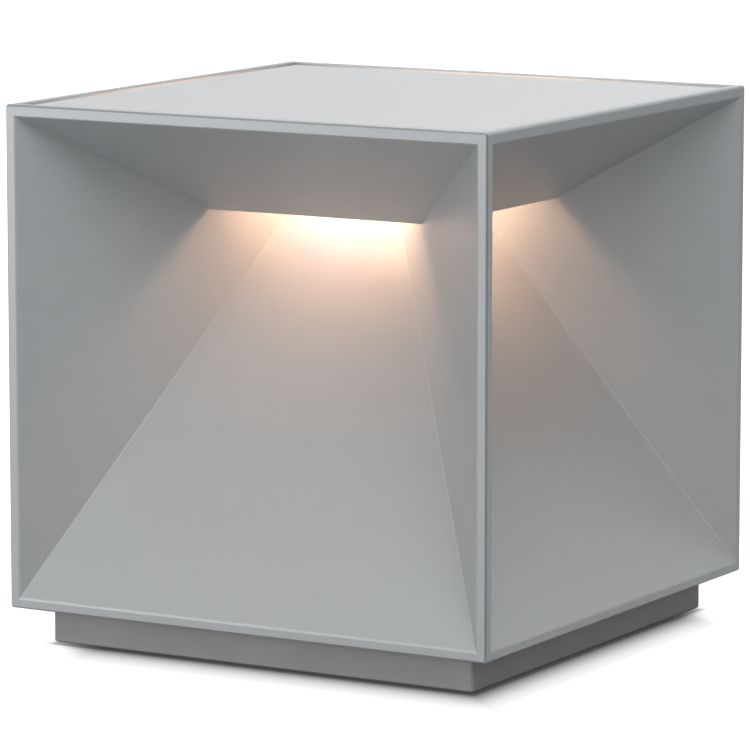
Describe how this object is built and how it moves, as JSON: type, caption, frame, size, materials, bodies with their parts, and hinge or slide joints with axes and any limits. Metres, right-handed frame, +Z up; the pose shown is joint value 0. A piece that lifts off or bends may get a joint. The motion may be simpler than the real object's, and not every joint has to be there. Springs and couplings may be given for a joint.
{
  "type": "table lamp",
  "caption": "Cube-shaped cordless table lamp whose light comes from under a square shade and washes down a pyramid reflector in each open side.",
  "frame": {"origin": "on the table under the middle of the lamp", "axes": "+Z up from the table, -Y towards the front side, +Y towards the side with the charging inlet"},
  "size_m": [0.11, 0.11, 0.1102],
  "materials": {
    "powder_coat": "fine-textured silver-grey powder coat, satin",
    "panel_coat": "smooth light silver coat, satin",
    "plate": "bare sheet, matt",
    "plinth_plastic": "dark grey moulded, fine texture",
    "black_rubber": "matt",
    "grey_rubber": "matt dark grey",
    "seal_rubber": "matt",
    "pad_silicone": "soft, matt",
    "board_white": "white solder mask on a metal-core board",
    "board_green": "green solder mask, satin",
    "led_phosphor": "warm yellow phosphor",
    "lens_frosted": "frosted clear",
    "screw_steel": "zinc plated",
    "contact_metal": "plated spring metal",
    "nickel": "bright nickel",
    "cell_wrap": "shrink wrap over a metal can, matt",
    "holder_plastic": "moulded, matt",
    "strap_fabric": "woven band",
    "foam_tape": "soft foam, matt",
    "lead_sleeve": "matt sleeve",
    "chip_black": "moulded, satin"
  },
  "bodies": {
    "lamp": {"lamp_body": "powder_coat", "reflector_plates": "powder_coat", "shade": "powder_coat", "top_panel": "panel_coat", "panel_gasket": "seal_rubber", "thermal_pad": "pad_silicone", "touch_contact": "contact_metal", "led_board": "board_white", "led_chips": "led_phosphor", "led_lenses": "lens_frosted", "led_board_screws": "screw_steel", "lead_grommet": "black_rubber", "led_lead": "lead_sleeve", "base_plate": "plate", "plinth": "plinth_plastic", "plinth_seal": "seal_rubber", "plinth_screws": "screw_steel", "rubber_feet": "black_rubber", "battery_cells": "cell_wrap", "battery_holder": "holder_plastic", "holder_tapes": "foam_tape", "cell_tabs": "nickel", "battery_strap": "strap_fabric", "battery_lead": "lead_sleeve", "control_board": "board_green", "board_screws": "screw_steel", "usb_socket": "nickel", "board_parts": "chip_black", "flap_pin": "screw_steel"},
    "flap": {"charge_flap": "grey_rubber"}
  },
  "joints": [
    {"name": "charge_flap_hinge", "type": "hinge", "parent": "lamp", "child": "flap", "pos_m": [0.0109, 0.04745, 0.0041], "axis": [0, 0, -1], "range_deg": [0, 95]}
  ]
}
